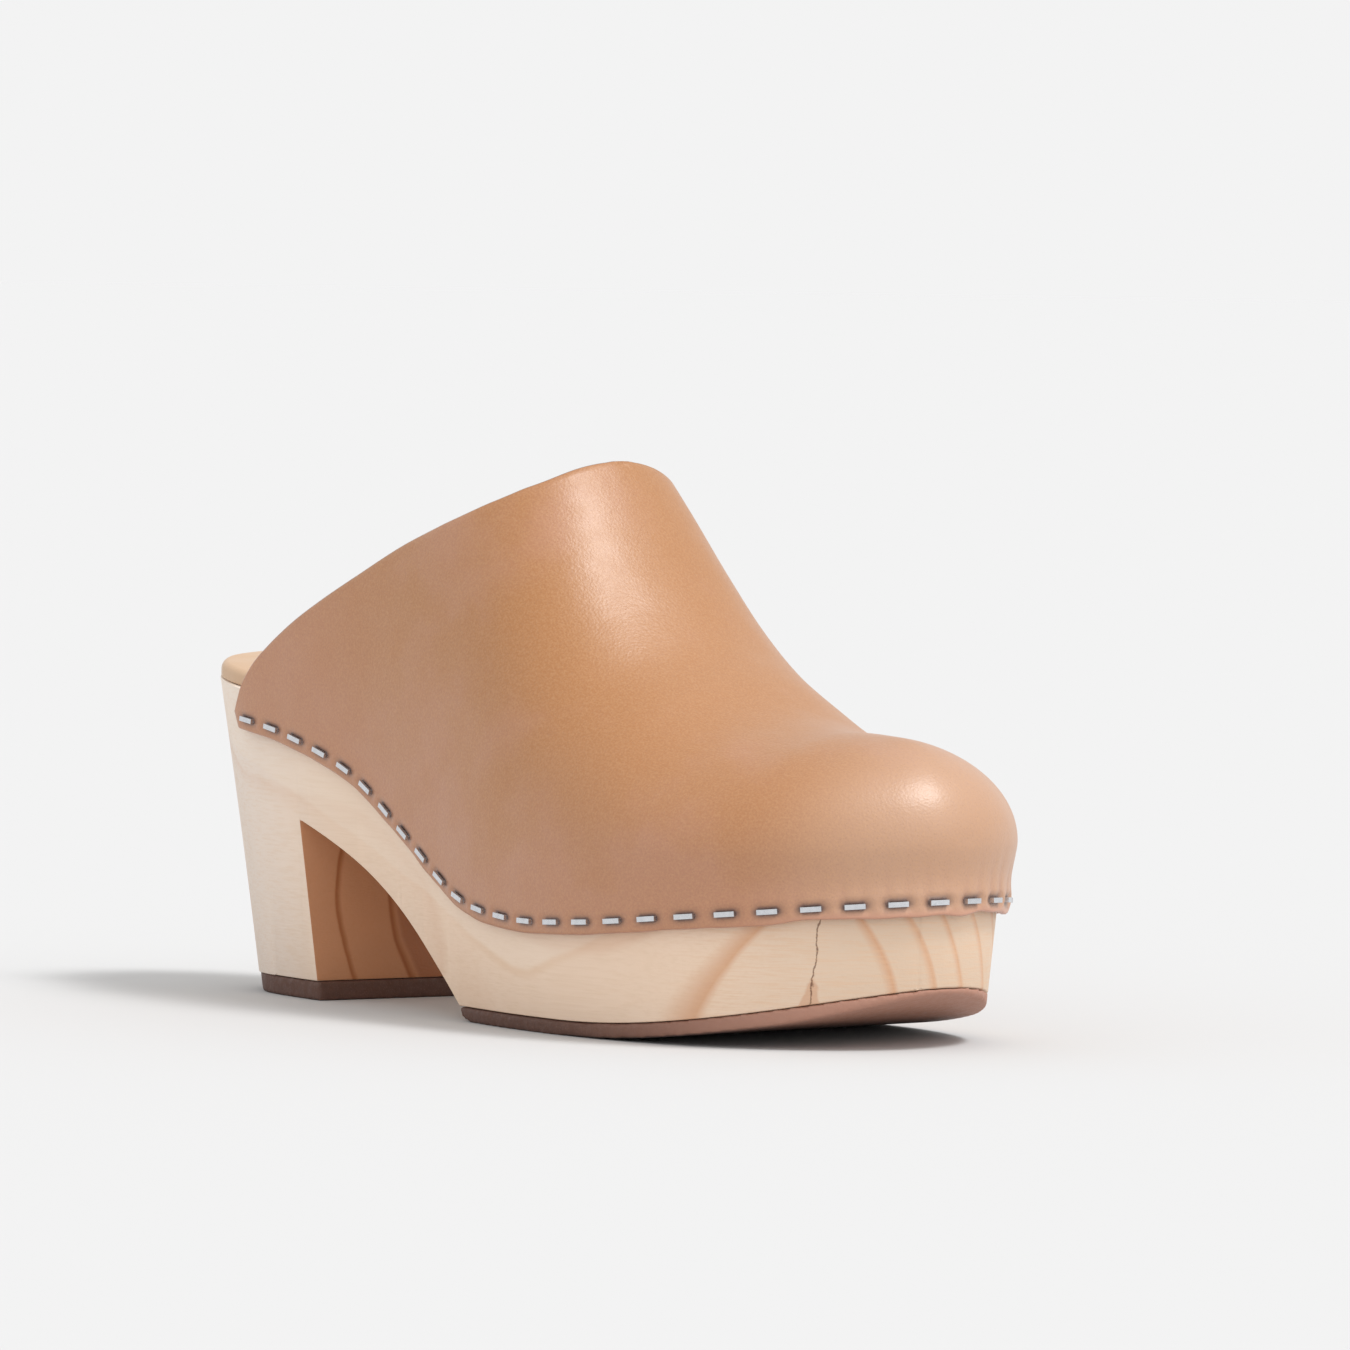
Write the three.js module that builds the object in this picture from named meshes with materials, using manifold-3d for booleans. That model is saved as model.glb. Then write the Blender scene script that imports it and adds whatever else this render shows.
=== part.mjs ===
// A wooden platform clog for the right foot, open at the heel: a carved wooden sole with a
// block heel, a lasted leather vamp stapled round its edge, rubber treads and a padded insole.
// Millimetres. +X points to the toe, +Y to the inner (medial) side of the foot, +Z up.

import * as THREE from 'three';
import { mergeGeometries, mergeVertices } from 'three/addons/utils/BufferGeometryUtils.js';
import Module from 'manifold-3d';

const wasm = await Module();
wasm.setup();

// ---- Driving dimensions -------------------------------------------------------------------

const SOLE_LENGTH = 238; // the wood, from the back of the heel seat to the tip of the toe
const GAP = 0.3; // clearance between pieces that touch

const TREAD_THICKNESS = 3.4; // rubber under the forepart
const TREAD_FLAT_END = 160; // the sole rolls up from the ground in front of this
const TOE_ROLL_RADIUS = 266; // radius of that upward roll
const LIFT_THICKNESS = 4.5; // rubber under the heel
const HEEL_SKEW = 0.13; // the heel breast and the arch run forward towards the medial side

const LEATHER = 2; // thickness of the vamp
const LINING = 0.8;
const PUFF = 0.9; // stiffener between vamp and lining at the toe
const PUFF_REAR = 192; // the stiffener starts here
const PUFF_EASE = [16, 4]; // the lining makes room for it between these distances behind it
const VAMP_REAR = 27; // back corner of the vamp
const THROAT = 128; // front of the foot opening
const EDGE_OVERLAP = 9.5; // how far the vamp reaches down over the side of the wood

const STAPLE_COUNT = 50;
const STAPLE_DROP = 6.4; // staple line below the top edge of the wood
const STAPLE_REAR = 34; // the first and last staples sit here
const STAPLE_CROWN = 4.7;
const STAPLE_LEG = 7;
const WIRE_THICKNESS = 0.7;
const WIRE_WIDTH = 1.15;

const INSOLE_EDGE = 2.6; // height of the insole's side
const INSOLE_SHOULDER = 1; // rise over the insole's rounded edge
const INSOLE_CROWN = 2.6; // further rise to the middle of the insole
const INSOLE_ROUNDING = 1.5; // width of the insole's rounded edge
const CROWN_SHARES = [0.25, 0.5, 0.75]; // points across the insole's crown
const COVER = 1; // thickness of the insole's leather cover

// ---- Curves of the last and the sole, as [distance from the heel, value] --------------------

const LATERAL_EDGE = [
  [0, 0], [7, -19.5], [24, -30], [50, -32.3], [80, -33.5], [110, -38.5], [140, -44.5],
  [160, -46.5], [180, -45.5], [200, -40.5], [220, -28], [233, -12], [238, 4],
];
const MEDIAL_EDGE = [
  [0, 0], [7, 18], [24, 27], [50, 29], [80, 29.5], [110, 34], [140, 41],
  [160, 45.5], [180, 46], [200, 42.8], [220, 34.4], [233, 21.4], [238, 4],
];
const footbedHeight = profile([
  [0, 76], [25, 73], [50, 69], [75, 61], [100, 47.5], [122, 36], [145, 32.3], [170, 33],
  [200, 36], [240, 40.5],
]);
const archHeight = profile([
  [54, 42.5], [60, 40.5], [80, 32], [100, 20.5], [112, 11.5], [122, 3.2],
]);
const undercut = profile([[0, 15], [24, 9.3], [50, 4.8], [80, 3.5], [240, 3.5]]);
const toplineHeight = profile([
  [27, 66], [32, 74.4], [36, 78.8], [42, 83.5], [51, 89.3], [61, 94.9], [75, 101.9], [89, 108.4],
  [103, 113.9], [114, 118.5], [122, 122.8], [126, 126], [128, 129.2],
]);
const crestHeight = profile([
  [80, 154], [96, 153.5], [104, 151.5], [112, 147.1], [120, 139.2], [128, 129.2], [137, 116.2],
  [147, 102.3], [158, 89.9], [170, 80.9],
  [182, 73.6], [194, 70.4], [206, 69.9], [220, 69.4],
]);
const insoleInset = profile([[0, 1], [20, 1], [34, 3.4], [240, 3.4]]); // inside the wood's edge
const crestSide = profile([[27, 0], [128, 0], [218, 4]]);
const TOE_START = 150; // in front of this the crest falls behind the edge
const TOE_SETBACK = 20; // at the tip, the crest ends this far behind the edge
const FLANK_BULGE = 3.5;
const TOE_BULGE = 7.3;
const FLANK_RISE = 0.7; // share of the height over which a hoop leaves the edge upright
const TOE_RISE = 0.52;
const FLANK_REACH = 0.5; // share of the half width over which it arrives level at the crest
const TOE_REACH = 0.64;

// A smooth curve through [x, value] points, as a function of x.
function profile(points) {
  const last = points.length - 1;
  const width = (i) => points[i + 1][0] - points[i][0];
  const rise = (i) => (points[i + 1][1] - points[i][1]) / width(i);
  const slopes = points.map((_, i) => {
    if (i === 0) return rise(0);
    if (i === last) return rise(last - 1);
    return (rise(i - 1) * width(i) + rise(i) * width(i - 1)) / (width(i - 1) + width(i));
  });
  return (x) => {
    const inside = THREE.MathUtils.clamp(x, points[0][0], points[last][0]);
    let i = 0;
    while (i < last - 1 && inside > points[i + 1][0]) i += 1;
    const t = (inside - points[i][0]) / width(i);
    const hold = t * t * (3 - 2 * t);
    const ends = points[i][1] * (1 - hold) + points[i + 1][1] * hold;
    const bend = t * (1 - t) * (slopes[i] * (1 - t) - slopes[i + 1] * t);
    return ends + bend * width(i);
  };
}

const toeRoll = (x) => Math.max(0, x - TREAD_FLAT_END) ** 2 / (2 * TOE_ROLL_RADIUS);

// ---- Plan outline: an angle runs from 0 at the heel to PI at the toe, along either side -----

const angleAt = (x) => Math.acos(1 - (2 * x) / SOLE_LENGTH);
const byAngle = (points) => profile(points.map(([x, y]) => [angleAt(x), y]));
const SIDES = {
  lateral: { edge: byAngle(LATERAL_EDGE), outward: -1 },
  medial: { edge: byAngle(MEDIAL_EDGE), outward: 1 },
};

const HEEL_STEPS = 7;
const OPENING_STEPS = 14;
const TOE_STEPS = 14;
const rearAngle = angleAt(VAMP_REAR);
const throatAngle = angleAt(THROAT);
const heelStations = Array.from({ length: HEEL_STEPS }, (_, i) => (rearAngle * i) / HEEL_STEPS);
const openingStations = Array.from({ length: OPENING_STEPS }, (_, i) => {
  const closer = 1 - (1 - i / OPENING_STEPS) ** 1.5;
  return THREE.MathUtils.lerp(rearAngle, throatAngle, closer);
});
const toeStations = Array.from({ length: TOE_STEPS + 1 }, (_, i) =>
  THREE.MathUtils.lerp(throatAngle, Math.PI, i / TOE_STEPS));
const vampStations = [...openingStations, ...toeStations];
const soleStations = [...heelStations, ...vampStations];

// The top edge of the wood on one side, with its level outward normal.
function edgePoint(side, angle) {
  const { edge, outward } = SIDES[side];
  const step = 1e-3;
  const x = (SOLE_LENGTH / 2) * (1 - Math.cos(angle));
  const alongX = (SOLE_LENGTH / 2) * Math.sin(angle);
  const alongY = (edge(angle + step) - edge(angle - step)) / (2 * step);
  const normal = new THREE.Vector3(-outward * alongY, outward * alongX, 0).normalize();
  return { point: new THREE.Vector3(x, edge(angle), footbedHeight(x)), normal };
}

// A point on the tapered side of the wood at height z, moved outwards.
function wallPoint(side, angle, z, outwards = 0) {
  const { point, normal } = edgePoint(side, angle);
  const inset = undercut(point.x) * (1 - z / point.z);
  return point.addScaledVector(normal, outwards - inset).setZ(z);
}

// ---- Mesh helpers ---------------------------------------------------------------------------

const WELD_DISTANCE = 1e-3;

// Joins coincident points and drops the triangles that this closes up. Each point can carry the
// number of the row that it belongs to.
function weld(points, faces, rows) {
  const loose = new THREE.BufferGeometry().setFromPoints(faces.map((i) => points[i]));
  if (rows) {
    loose.setAttribute('row', new THREE.Float32BufferAttribute(faces.map((i) => rows[i]), 1));
  }
  const welded = mergeVertices(loose, WELD_DISTANCE);
  const index = Array.from(welded.index.array);
  const kept = [];
  for (let i = 0; i < index.length; i += 3) {
    const [a, b, c] = index.slice(i, i + 3);
    if (a !== b && b !== c && c !== a) kept.push(a, b, c);
  }
  welded.setIndex(kept);
  return welded;
}

// A closed skin over sections of equal length; the first and last have shrunk to a line.
function loft(sections) {
  const corners = sections[0].length;
  const faces = [];
  for (let s = 0; s < sections.length - 1; s += 1) {
    for (let c = 0; c < corners; c += 1) {
      const here = s * corners + c;
      const next = s * corners + ((c + 1) % corners);
      faces.push(here, here + corners, next, next, here + corners, next + corners);
    }
  }
  return weld(sections.flat(), faces);
}

// The solid between two offsets below an open surface, with its rims closed. It covers the
// triangles whose three corners are all kept, by their row and their distance from the heel.
function shell(surface, outerDepth, innerDepth, keep = () => true) {
  const { position, normal, row } = surface.attributes;
  const count = position.count;
  const index = surface.index.array;
  const faces = [];
  for (let i = 0; i < index.length; i += 3) {
    const corners = Array.from(index.slice(i, i + 3));
    if (corners.every((c) => keep(row.getX(c), position.getX(c)))) faces.push(...corners);
  }
  const points = [];
  for (const depth of [outerDepth, innerDepth]) {
    for (let i = 0; i < count; i += 1) {
      const at = new THREE.Vector3().fromBufferAttribute(position, i);
      const away = new THREE.Vector3().fromBufferAttribute(normal, i);
      points.push(at.addScaledVector(away, -depth(at.x)));
    }
  }
  const used = new Set();
  for (let i = 0; i < faces.length; i += 3) {
    for (let k = 0; k < 3; k += 1) used.add(`${faces[i + k]}_${faces[i + ((k + 1) % 3)]}`);
  }
  const closed = [...faces];
  for (let i = 0; i < faces.length; i += 3) {
    closed.push(faces[i] + count, faces[i + 2] + count, faces[i + 1] + count);
    for (let k = 0; k < 3; k += 1) {
      const a = faces[i + k];
      const b = faces[i + ((k + 1) % 3)];
      if (!used.has(`${b}_${a}`)) closed.push(b, a, a + count, b, a + count, b + count);
    }
  }
  return weld(points, closed);
}

function toSolid(geometry) {
  const bare = new THREE.BufferGeometry();
  bare.setAttribute('position', geometry.attributes.position.clone());
  if (geometry.index) bare.setIndex(geometry.index.clone());
  const welded = mergeVertices(bare, WELD_DISTANCE);
  return new wasm.Manifold(new wasm.Mesh({
    numProp: 3,
    vertProperties: new Float32Array(welded.attributes.position.array),
    triVerts: new Uint32Array(welded.index.array),
  }));
}

function toGeometry(solid) {
  const mesh = solid.getMesh();
  const geometry = new THREE.BufferGeometry();
  geometry.setAttribute('position', new THREE.BufferAttribute(mesh.vertProperties, 3));
  geometry.setIndex(new THREE.BufferAttribute(mesh.triVerts, 1));
  geometry.computeVertexNormals();
  return geometry;
}

const ACROSS = 140; // wider than the clog
const OVERHEAD = 200; // higher than the clog

// A side outline of [x, z] points carried right across the sole, skewed forward with +Y.
function acrossSole(outline, skew = 0) {
  const shape = new THREE.Shape(outline.map(([x, z]) => new THREE.Vector2(x, z)));
  const slab = new THREE.ExtrudeGeometry(shape, { depth: ACROSS, bevelEnabled: false });
  slab.rotateX(Math.PI / 2);
  slab.translate(0, ACROSS / 2, 0);
  slab.applyMatrix4(new THREE.Matrix4().makeShear(0, 0, skew, 0, 0, 0));
  return toSolid(slab);
}

const steps = (from, to, count) =>
  Array.from({ length: count + 1 }, (_, i) => THREE.MathUtils.lerp(from, to, i / count));

// ---- Staples: a row along the lower edge of the vamp, evenly spaced round the toe -----------

function staplePlaces() {
  const line = (side, angle) => {
    const top = edgePoint(side, angle).point.z;
    return wallPoint(side, angle, top - STAPLE_DROP, LEATHER + GAP);
  };
  const angles = steps(angleAt(STAPLE_REAR), Math.PI, 60);
  const there = angles.map((angle) => line('lateral', angle));
  const back = angles.slice(0, -1).reverse().map((angle) => line('medial', angle));
  const path = new THREE.CatmullRomCurve3([...there, ...back]);
  path.arcLengthDivisions = 1000;
  return steps(0, 1, STAPLE_COUNT - 1).map((u) => {
    const along = path.getTangentAt(u);
    const outwards = new THREE.Vector3().crossVectors(along, new THREE.Vector3(0, 0, 1)).normalize();
    const upright = new THREE.Vector3().crossVectors(along, outwards);
    return new THREE.Matrix4().makeBasis(along, outwards, upright).setPosition(path.getPointAt(u));
  });
}

function stapleGeometry() {
  const half = STAPLE_CROWN / 2;
  const top = GAP + WIRE_THICKNESS;
  const outline = [
    [-half, top], [-half, -STAPLE_LEG], [-half + WIRE_THICKNESS, -STAPLE_LEG],
    [-half + WIRE_THICKNESS, GAP], [half - WIRE_THICKNESS, GAP],
    [half - WIRE_THICKNESS, -STAPLE_LEG], [half, -STAPLE_LEG], [half, top],
  ];
  const shape = new THREE.Shape(outline.map(([x, y]) => new THREE.Vector2(x, y)));
  const wire = new THREE.ExtrudeGeometry(shape, { depth: WIRE_WIDTH, bevelEnabled: false });
  return wire.translate(0, 0, -WIRE_WIDTH / 2);
}

const HOLE_START = 1; // outside the face of the leather
const HOLE_END = 4; // inside the face of the leather
const POCKET_START = 0.5; // outside the face of the wood

// Two holes through the leather for each staple's legs.
function legHoles(places) {
  const reach = HOLE_START + HOLE_END;
  const across = (STAPLE_CROWN - WIRE_THICKNESS) / 2;
  const holes = places.flatMap((place) => [-across, across].map((x) => {
    const hole = new THREE.BoxGeometry(WIRE_THICKNESS + 2 * GAP, reach, WIRE_WIDTH + 2 * GAP);
    return hole.translate(x, HOLE_START - reach / 2, 0).applyMatrix4(place);
  }));
  return toSolid(mergeGeometries(holes));
}

// One pocket in the wood for each staple's pair of legs.
function legPockets(places) {
  const start = POCKET_START - LEATHER;
  const reach = STAPLE_LEG + GAP + start;
  const pockets = places.map((place) => {
    const pocket = new THREE.BoxGeometry(STAPLE_CROWN + 2 * GAP, reach, WIRE_WIDTH + 2 * GAP);
    return pocket.translate(0, start - reach / 2, 0).applyMatrix4(place);
  });
  return toSolid(mergeGeometries(pockets));
}

// ---- Sole: one tapered block, cut into the wood, the tread and the heel lift -----------------

const BELOW = -2;
const BEHIND = -5;
const WAIST = 90; // within the arch
const SOLE_FRONT = 260;
const ARCH_REAR = 54;
const ARCH_FRONT = 122;
const BREAST_FOOT = 59.8; // foot of the heel's front face
const HEEL_CLEAR = 2; // how far the space for the lift runs on into the arch
const TIP_START = 212; // the tread thins to its tip from here
const TIP_CURVE = 0.004;
const TREAD_LIP = 0.5; // how far the tread starts behind the front of the arch
const TREAD_CORNER = [[5, 0], [1.6, 0.8], [0, 2.4], [0, 6]]; // its rounded rear, [ahead, height]
const treadTop = (x) => TREAD_THICKNESS + toeRoll(x);
const treadFoot = (x) => toeRoll(x) + TIP_CURVE * Math.max(0, x - TIP_START) ** 2;

function soleBlock() {
  return toSolid(loft(soleStations.map((angle) => [
    wallPoint('lateral', angle, 0),
    wallPoint('lateral', angle, edgePoint('lateral', angle).point.z),
    wallPoint('medial', angle, edgePoint('medial', angle).point.z),
    wallPoint('medial', angle, 0),
  ])));
}

function archSpace() {
  const under = steps(ARCH_REAR, ARCH_FRONT, 12).map((x) => [x, archHeight(x)]);
  return acrossSole([[BREAST_FOOT, BELOW], ...under, [ARCH_FRONT, BELOW]].reverse(), HEEL_SKEW);
}

function treadSpace(clearance) {
  const rolled = steps(TREAD_FLAT_END, SOLE_FRONT, 14);
  const top = rolled.map((x) => [x, treadTop(x) + clearance]);
  const rear = [[WAIST, treadTop(0) + clearance], [WAIST, BELOW]];
  return acrossSole([...rear, [SOLE_FRONT, BELOW], ...top.reverse()]);
}

function woodSole(places) {
  const front = BREAST_FOOT + HEEL_CLEAR;
  const top = LIFT_THICKNESS + GAP;
  const heelFoot = [[BEHIND, BELOW], [front, BELOW], [front, top], [BEHIND, top]];
  return toGeometry(soleBlock()
    .subtract(archSpace())
    .subtract(treadSpace(GAP))
    .subtract(acrossSole(heelFoot, HEEL_SKEW))
    .subtract(legPockets(places)));
}

function forepartTread() {
  const rolled = steps(TREAD_FLAT_END, SOLE_FRONT, 14).map((x) => [x, treadFoot(x)]);
  const ground = [[SOLE_FRONT, BELOW], ...rolled.reverse()];
  const start = ARCH_FRONT - TREAD_LIP;
  const corner = TREAD_CORNER.map(([ahead, height]) => [start + ahead, height]);
  const [front] = corner[0];
  const [, top] = corner[corner.length - 1];
  const rear = [[BEHIND, BELOW], [front, BELOW], ...corner, [BEHIND, top]];
  return toGeometry(soleBlock()
    .intersect(treadSpace(0))
    .subtract(acrossSole([[0, BELOW], ...ground, [0, 0]]))
    .subtract(acrossSole(rear, HEEL_SKEW)));
}

function heelLift() {
  const slab = [[BEHIND, BELOW], [BREAST_FOOT, BELOW], [BREAST_FOOT, LIFT_THICKNESS],
    [BEHIND, LIFT_THICKNESS]];
  return toGeometry(soleBlock().intersect(acrossSole(slab, HEEL_SKEW)));
}

// ---- Vamp: hoops from either edge of the wood up to a crest line ----------------------------

const WALL_ROWS = [EDGE_OVERLAP, 4, 0]; // rows down the side of the wood, below its top edge
const HOOP_ROWS = 8;

// One hoop, as a curve that leaves the edge upright and arrives level across the crest.
function hoop(side, angle) {
  const { point: foot, normal } = edgePoint(side, angle);
  const forward = Math.max(0, foot.x - TOE_START) / (SOLE_LENGTH - TOE_START);
  const crestX = foot.x - TOE_SETBACK * forward ** 2;
  const crest = new THREE.Vector3(crestX, crestSide(crestX), crestHeight(crestX));
  const slope = crestHeight(crestX + 0.5) - crestHeight(crestX - 0.5);
  const toeShare = forward ** 1.5;
  const bulge = THREE.MathUtils.lerp(FLANK_BULGE, TOE_BULGE, toeShare);
  const rise = THREE.MathUtils.lerp(FLANK_RISE, TOE_RISE, toeShare);
  const reach = THREE.MathUtils.lerp(FLANK_REACH, TOE_REACH, toeShare);
  const start = foot.clone().addScaledVector(normal, LEATHER + GAP);
  const upright = start.clone().addScaledVector(normal, bulge);
  upright.z += rise * (crest.z - start.z);
  const level = crest.clone().sub(start).setZ(0).multiplyScalar(-reach);
  const arrival = crest.clone().add(level);
  arrival.z += level.x * slope;
  return new THREE.CubicBezierCurve3(start, upright, arrival, crest);
}

function vampColumn(side, angle) {
  const { point: foot } = edgePoint(side, angle);
  const curve = hoop(side, angle);
  const wall = WALL_ROWS.map((drop) => wallPoint(side, angle, foot.z - drop, LEATHER + GAP));
  const arch = steps(0, 1, HOOP_ROWS).slice(1).map((t) => curve.getPoint(t));
  return [...wall, ...arch];
}

// The outer face of the vamp, before the opening is cut from it.
function vampSurface() {
  const points = [];
  const rows = [];
  const faces = [];
  for (const side of ['lateral', 'medial']) {
    const columns = vampStations.map((angle) => vampColumn(side, angle));
    const height = columns[0].length;
    const offset = points.length;
    points.push(...columns.flat());
    rows.push(...columns.flatMap((column) => column.map((_, r) => r)));
    for (let c = 0; c < columns.length - 1; c += 1) {
      for (let r = 0; r < height - 1; r += 1) {
        const here = offset + c * height + r;
        const ahead = here + height;
        const quad = [here, ahead, ahead + 1, here, ahead + 1, here + 1];
        faces.push(...(side === 'lateral' ? quad : quad.reverse()));
      }
    }
  }
  const surface = weld(points, faces, rows);
  surface.computeVertexNormals();
  return surface;
}

// Everything above the topline, where the foot goes in.
function footOpening() {
  const topline = steps(VAMP_REAR, THROAT, 24).map((x) => [x, toplineHeight(x)]);
  return acrossSole([[0, toplineHeight(0)], ...topline, [THROAT, OVERHEAD], [0, OVERHEAD]]);
}

function vamp(surface, places) {
  const leather = shell(surface, () => 0, () => LEATHER);
  return toGeometry(toSolid(leather).subtract(footOpening()).subtract(legHoles(places)));
}

const liningDepth = (x) => {
  const [far, near] = PUFF_EASE;
  const room = THREE.MathUtils.smoothstep(x, PUFF_REAR - far, PUFF_REAR - near);
  return LEATHER + GAP + room * (PUFF + GAP);
};

function vampLining(surface) {
  const depth = (x) => liningDepth(x) + LINING;
  const whole = shell(surface, liningDepth, depth, (row) => row >= WALL_ROWS.length);
  return toGeometry(toSolid(whole).subtract(footOpening()));
}

function toePuff(surface) {
  const keep = (row, x) => row >= WALL_ROWS.length && x > PUFF_REAR;
  return shell(surface, () => LEATHER + GAP, () => LEATHER + GAP + PUFF, keep);
}

// ---- Insole: a foam pad under a leather cover that turns down over its edge ------------------

// A crowned slab on the footbed, between two heights above the wood, set in from the edge.
function insoleSlab(setIn, base, top) {
  const sideHeight = top - INSOLE_SHOULDER - INSOLE_CROWN;
  return loft(soleStations.map((angle) => {
    const at = (side, extra, height) => {
      const { point, normal } = edgePoint(side, angle);
      point.addScaledVector(normal, -insoleInset(point.x) - setIn - extra);
      return point.setZ(footbedHeight(point.x) + height);
    };
    const shoulder = (side) => at(side, INSOLE_ROUNDING, sideHeight + INSOLE_SHOULDER);
    const [left, right] = [shoulder('lateral'), shoulder('medial')];
    const crown = CROWN_SHARES.map((share) => {
      const rise = INSOLE_CROWN * 4 * share * (1 - share) * Math.sin(angle);
      const point = left.clone().lerp(right, share);
      return point.setZ(point.z + rise);
    });
    return [at('lateral', 0, base), at('lateral', 0, sideHeight), left, ...crown, right,
      at('medial', 0, sideHeight), at('medial', 0, base)];
  }));
}

const INSOLE_TOP = GAP + INSOLE_EDGE + INSOLE_SHOULDER + INSOLE_CROWN;

function insoleCover() {
  const outside = insoleSlab(0, GAP, INSOLE_TOP);
  const hollow = insoleSlab(COVER, -1, INSOLE_TOP - COVER);
  return toGeometry(toSolid(outside).subtract(toSolid(hollow)));
}

function insolePad() {
  const around = COVER + GAP;
  return insoleSlab(around, GAP, INSOLE_TOP - around);
}

// ---- Assembly -------------------------------------------------------------------------------

const MATERIALS = {
  wood: new THREE.MeshStandardMaterial({ color: 0xe6cfae, roughness: 0.55, metalness: 0 }),
  rubber: new THREE.MeshStandardMaterial({ color: 0x5f4640, roughness: 0.85, metalness: 0 }),
  vampLeather: new THREE.MeshStandardMaterial({ color: 0xc08a5c, roughness: 0.45, metalness: 0 }),
  lining: new THREE.MeshStandardMaterial({ color: 0xd9b48c, roughness: 0.7, metalness: 0 }),
  puff: new THREE.MeshStandardMaterial({ color: 0xe8e2d4, roughness: 0.9, metalness: 0 }),
  insoleLeather: new THREE.MeshStandardMaterial({ color: 0xe3b48a, roughness: 0.55, metalness: 0 }),
  foam: new THREE.MeshStandardMaterial({ color: 0xf0e2b8, roughness: 1, metalness: 0 }),
  steel: new THREE.MeshStandardMaterial({ color: 0xc9c8c6, roughness: 0.3, metalness: 1 }),
};

const clog = new THREE.Group();

function addPiece(name, geometry, material) {
  const mesh = new THREE.Mesh(geometry, material);
  mesh.name = name;
  clog.add(mesh);
  return mesh;
}

const places = staplePlaces();
const surface = vampSurface();
addPiece('wood_sole', woodSole(places), MATERIALS.wood);
addPiece('forepart_tread', forepartTread(), MATERIALS.rubber);
addPiece('heel_lift', heelLift(), MATERIALS.rubber);
addPiece('vamp', vamp(surface, places), MATERIALS.vampLeather);
addPiece('vamp_lining', vampLining(surface), MATERIALS.lining);
addPiece('toe_puff', toePuff(surface), MATERIALS.puff);
addPiece('insole_pad', insolePad(), MATERIALS.foam);
addPiece('insole_cover', insoleCover(), MATERIALS.insoleLeather);
places.forEach((place, i) => {
  const name = `staple_${String(i + 1).padStart(2, '0')}`;
  addPiece(name, stapleGeometry(), MATERIALS.steel).applyMatrix4(place);
});

// The origin is the middle of the bottom of the clog's bounding box.
const box = new THREE.Box3().setFromObject(clog);
const middle = box.getCenter(new THREE.Vector3());
clog.position.set(-middle.x, -middle.y, -box.min.z);

export default clog;
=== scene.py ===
"""The looks of a wooden clog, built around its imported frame.

The frame is in metres: +X to the toe, +Y to the medial side, +Z up. Shapes are worked out in
millimetres from the back of the heel seat, as the CAD's are, and shifted when a mesh is made.
"""

import math

import bmesh
import bpy
import numpy as np
from mathutils import Matrix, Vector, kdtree


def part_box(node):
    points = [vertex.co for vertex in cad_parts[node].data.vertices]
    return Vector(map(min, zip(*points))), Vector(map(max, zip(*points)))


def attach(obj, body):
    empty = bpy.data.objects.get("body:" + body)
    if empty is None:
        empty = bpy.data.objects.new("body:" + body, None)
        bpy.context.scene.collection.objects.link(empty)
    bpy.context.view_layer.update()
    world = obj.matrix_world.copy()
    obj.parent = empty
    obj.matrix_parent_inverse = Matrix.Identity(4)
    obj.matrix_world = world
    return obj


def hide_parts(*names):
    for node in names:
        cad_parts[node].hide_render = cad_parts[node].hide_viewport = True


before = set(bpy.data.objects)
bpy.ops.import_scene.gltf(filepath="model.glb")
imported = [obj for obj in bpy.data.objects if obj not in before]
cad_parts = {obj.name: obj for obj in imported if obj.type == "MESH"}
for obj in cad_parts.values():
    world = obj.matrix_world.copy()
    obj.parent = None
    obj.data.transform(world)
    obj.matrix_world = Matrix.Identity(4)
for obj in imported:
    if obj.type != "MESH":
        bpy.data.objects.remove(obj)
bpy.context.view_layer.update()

MM = 0.001

# ---- The clog's dimensions, in millimetres ---------------------------------------------------

SOLE_LENGTH = 238  # the wood, from the back of the heel seat to the tip of the toe
TREAD_THICKNESS = 3.4
TREAD_FLAT_END = 160  # the sole rolls up from the ground in front of this
TOE_ROLL_RADIUS = 266
LIFT_THICKNESS = 4.5
HEEL_SKEW = 0.13  # the heel breast and the arch run forward towards the medial side
ARCH_REAR = 54
ARCH_FRONT = 122
BREAST_FOOT = 59.8  # foot of the heel's front face

GAP = 0.3
LEATHER = 2  # thickness of the vamp
LINING = 0.8
PUFF_ROOM = 1.2  # the lining lies this much deeper where the toe's stiffener is
THROAT = 128  # front of the foot opening
EDGE_OVERLAP = 9.5  # how far the vamp reaches down over the side of the wood

TOE_START = 150  # in front of this the crest falls behind the edge
TOE_SETBACK = 20  # at the tip, the crest ends this far behind the edge
FLANK_BULGE = 3.5
TOE_BULGE = 7.2
FLANK_RISE = 0.7  # share of the height over which a hoop leaves the edge upright
TOE_RISE = 0.52
FLANK_REACH = 0.5  # share of the half width over which it arrives level at the crest
TOE_REACH = 0.64

STAPLE_COUNT = 50
STAPLE_DROP = 6.4  # staple line below the top edge of the wood
STAPLE_REAR = 34  # the first and last staples sit here
STAPLE_CROWN = 4.7  # length of a crown

INSOLE_EDGE = 2.6  # height of the insole's side
INSOLE_SHOULDER = 1  # rise over the insole's rounded edge
INSOLE_CROWN = 2.6  # further rise to the middle of the insole
COVER = 1  # thickness of the insole's leather


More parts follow.
